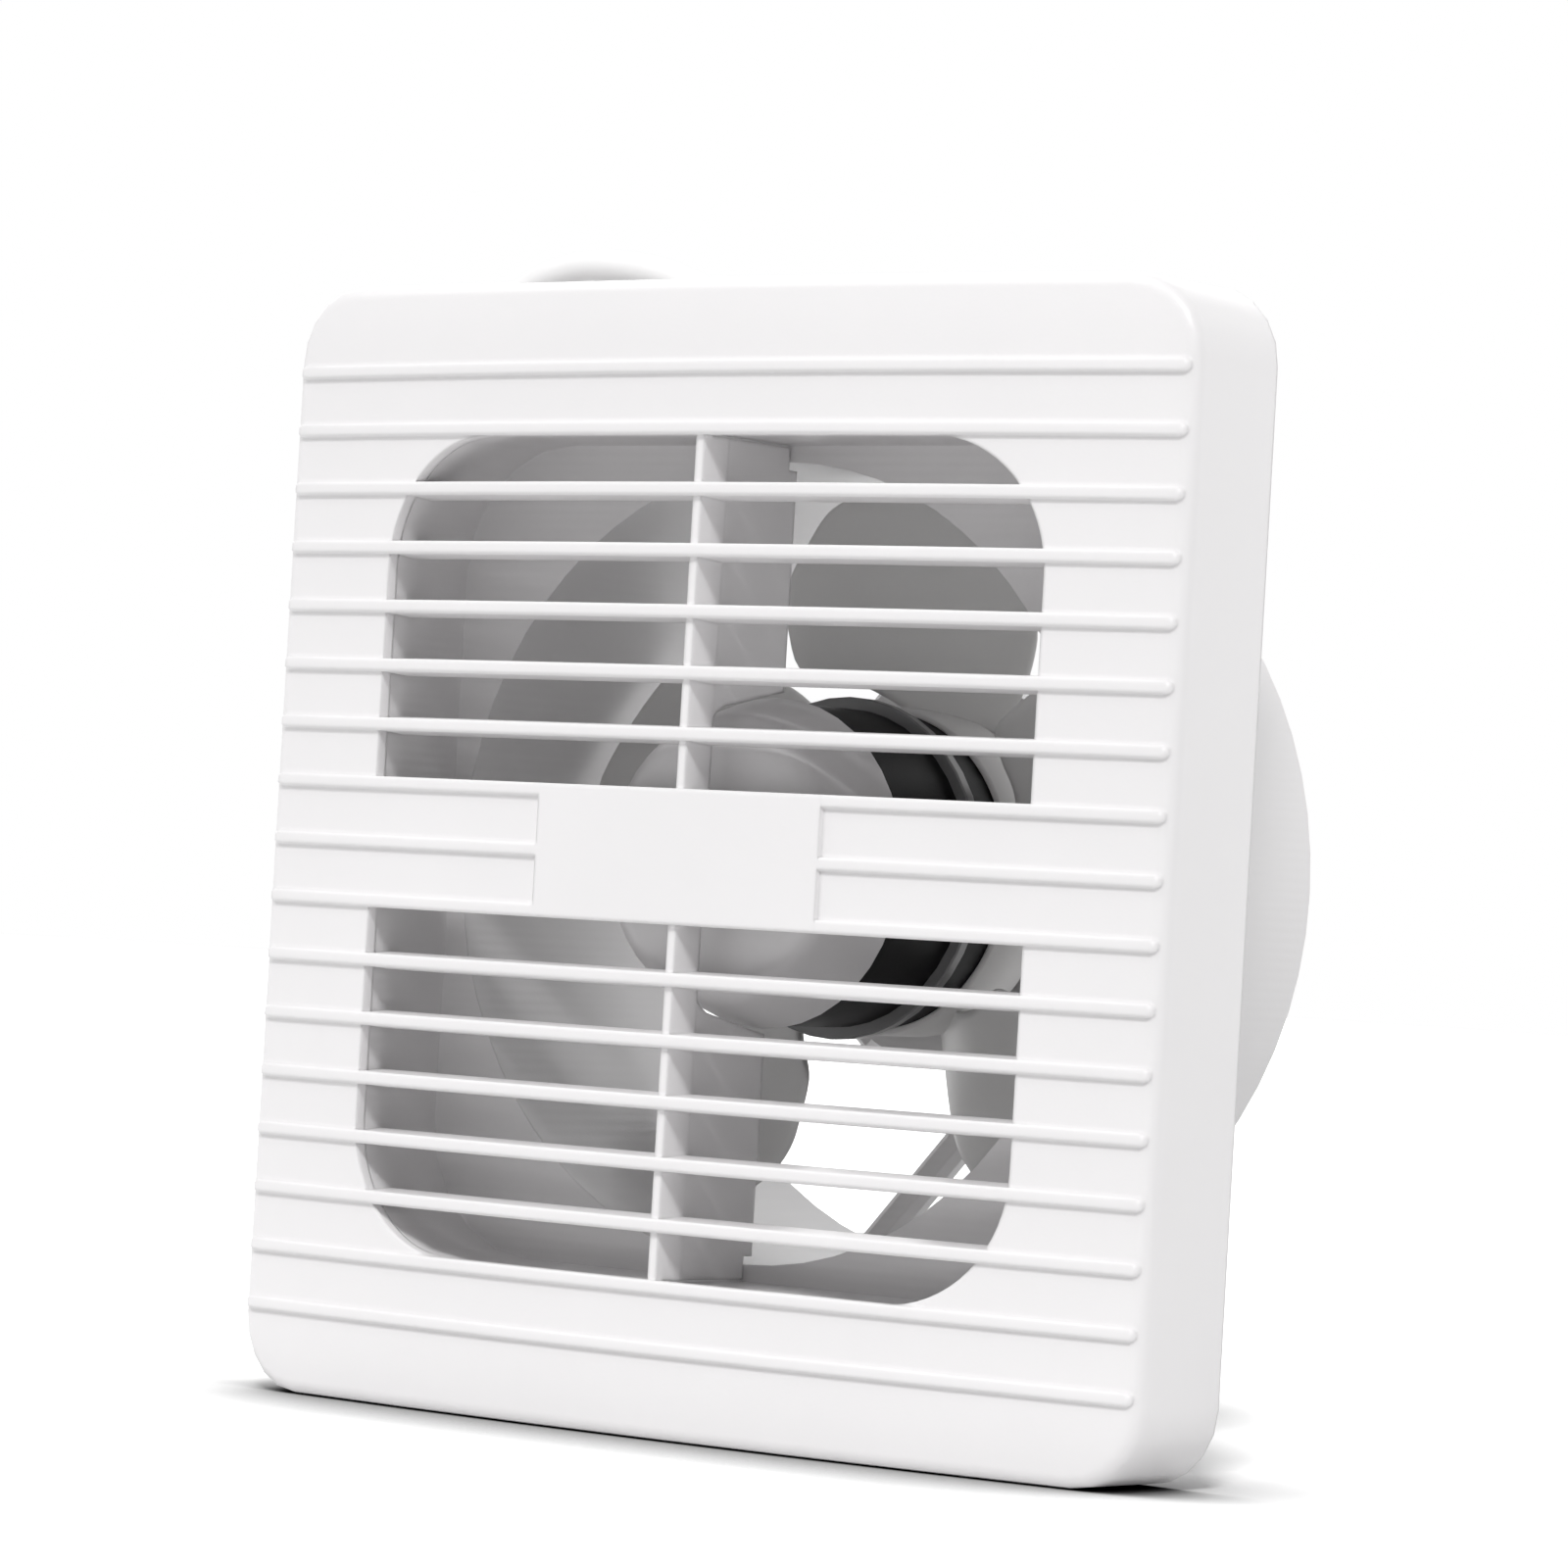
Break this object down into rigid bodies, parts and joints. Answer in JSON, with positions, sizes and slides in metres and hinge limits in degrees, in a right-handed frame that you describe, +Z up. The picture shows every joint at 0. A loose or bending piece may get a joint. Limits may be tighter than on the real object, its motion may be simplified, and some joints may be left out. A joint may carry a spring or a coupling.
{
  "type": "window exhaust fan",
  "caption": "Square wall or window exhaust fan: ribbed cover with slotted openings and a round duct tube, a bladed impeller inside, and a supply lead with plug.",
  "frame": {"origin": "on the panel's bottom edge, midway across, in the plane of the front face's left and right edges", "axes": "+X right as seen from the front, +Y towards the rear, into the wall, +Z up"},
  "size_m": [0.205, 0.1971, 0.216],
  "materials": {
    "cover_plastic": "satin white moulded plastic",
    "housing_plastic": "satin white moulded plastic",
    "impeller_plastic": "slightly translucent white moulded plastic",
    "cap_plastic": "smooth white moulded plastic",
    "can_black": "black satin coating",
    "core_steel": "varnished laminations",
    "shaft_steel": "ground steel",
    "screw_steel": "zinc plated",
    "washer_plastic": "matt fibre",
    "flange_aluminium": "die-cast",
    "winding_wire": "enamelled copper wire",
    "bush_bronze": "sintered bronze",
    "lead_sleeve": "white sleeve",
    "terminal_plastic": "natural nylon",
    "terminal_brass": "plain brass",
    "cord_sheath": "white flexible sheath",
    "tie_plastic": "matt white strap",
    "plug_plastic": "white moulded plastic",
    "pin_metal": "nickel plated"
  },
  "bodies": {
    "housing": {"housing": "housing_plastic", "stator_flange": "flange_aluminium", "stator_core": "core_steel", "winding_1": "winding_wire", "winding_2": "winding_wire", "winding_3": "winding_wire", "winding_4": "winding_wire", "front_bush": "bush_bronze", "rear_bush": "bush_bronze", "motor_screw_1": "screw_steel", "motor_screw_2": "screw_steel", "motor_screw_3": "screw_steel", "motor_screw_4": "screw_steel", "motor_lead": "lead_sleeve", "terminal_block": "terminal_plastic", "terminal_screw_1": "terminal_brass", "terminal_screw_2": "terminal_brass", "box_lid": "housing_plastic", "box_lid_screw_1": "screw_steel", "box_lid_screw_2": "screw_steel", "cord_clamp": "terminal_plastic", "cord_clamp_screw_1": "screw_steel", "cord_clamp_screw_2": "screw_steel", "strain_relief": "cord_sheath", "power_cord": "cord_sheath", "cord_coil": "cord_sheath", "plug_cord": "cord_sheath", "cord_tie": "tie_plastic", "plug_body": "plug_plastic", "plug_pin_1": "pin_metal", "plug_pin_2": "pin_metal"},
    "front_cover": {"front_cover": "cover_plastic"},
    "rotor": {"impeller": "impeller_plastic", "hub_cap": "cap_plastic", "rotor_can": "can_black", "rotor_ring": "core_steel", "shaft": "shaft_steel", "shaft_clip": "screw_steel", "thrust_washer": "washer_plastic"}
  },
  "joints": [
    {"name": "cover_pull", "type": "slide", "parent": "housing", "child": "front_cover", "axis": [0, -1, 0], "range_m": [0, 0.06]},
    {"name": "rotor_spin", "type": "hinge", "parent": "housing", "child": "rotor", "pos_m": [0, 0.047, 0.1025], "axis": [0, -1, 0], "continuous": true}
  ]
}
